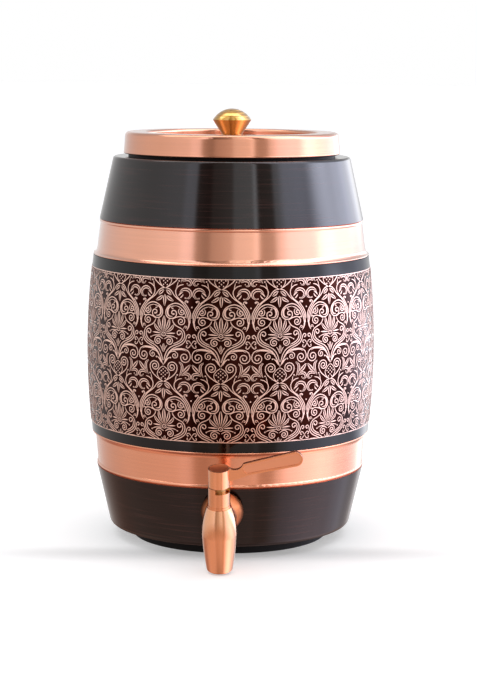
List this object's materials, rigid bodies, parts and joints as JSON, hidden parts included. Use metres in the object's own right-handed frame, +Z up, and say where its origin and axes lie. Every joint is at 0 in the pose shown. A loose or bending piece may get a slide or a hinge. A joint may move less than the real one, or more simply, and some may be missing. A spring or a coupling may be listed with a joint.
{
  "type": "water dispenser",
  "caption": "Barrel-shaped copper water dispenser with bare copper hoops, a scroll ornament band, a loose lid with a brass knob and a quarter-turn lever tap.",
  "frame": {"origin": "on the barrel's axis, in the plane that the foot ring stands on", "axes": "+Z up along the barrel's axis, -Y towards the tap at the front, +X to the right as seen from the front"},
  "size_m": [0.2098, 0.2536, 0.3122],
  "materials": {
    "copper": "fine brushed copper",
    "dark_copper": "dark lacquered brushed copper",
    "brass": "polished",
    "steel": "plain",
    "rubber": "matt"
  },
  "bodies": {
    "vessel": {"lower_shell": "dark_copper", "middle_shell": "dark_copper", "upper_shell": "dark_copper", "lower_hoop": "copper", "upper_hoop": "copper", "base_plate": "copper", "foot_ring": "rubber", "neck_ring": "dark_copper", "tap_body": "copper", "tap_outer_gasket": "rubber", "tap_inner_gasket": "rubber", "tap_washer": "brass", "tap_lock_nut": "brass"},
    "lid": {"lid_shell": "copper", "lid_knob": "brass", "knob_washer": "steel", "knob_screw": "steel"},
    "tap_handle": {"tap_lever": "copper", "valve_plug": "brass", "plug_seal_rings": "rubber", "plug_clip": "steel", "stop_pin": "brass", "lever_grub_screw": "steel"}
  },
  "joints": [
    {"name": "lid_lift", "type": "slide", "parent": "vessel", "child": "lid", "axis": [0, 0, 1], "range_m": [0, 0.1]},
    {"name": "tap_turn", "type": "hinge", "parent": "vessel", "child": "tap_handle", "pos_m": [0, -0.13084, 0.02908], "axis": [0, 0.2221, -0.975], "range_deg": [0, 90]}
  ]
}
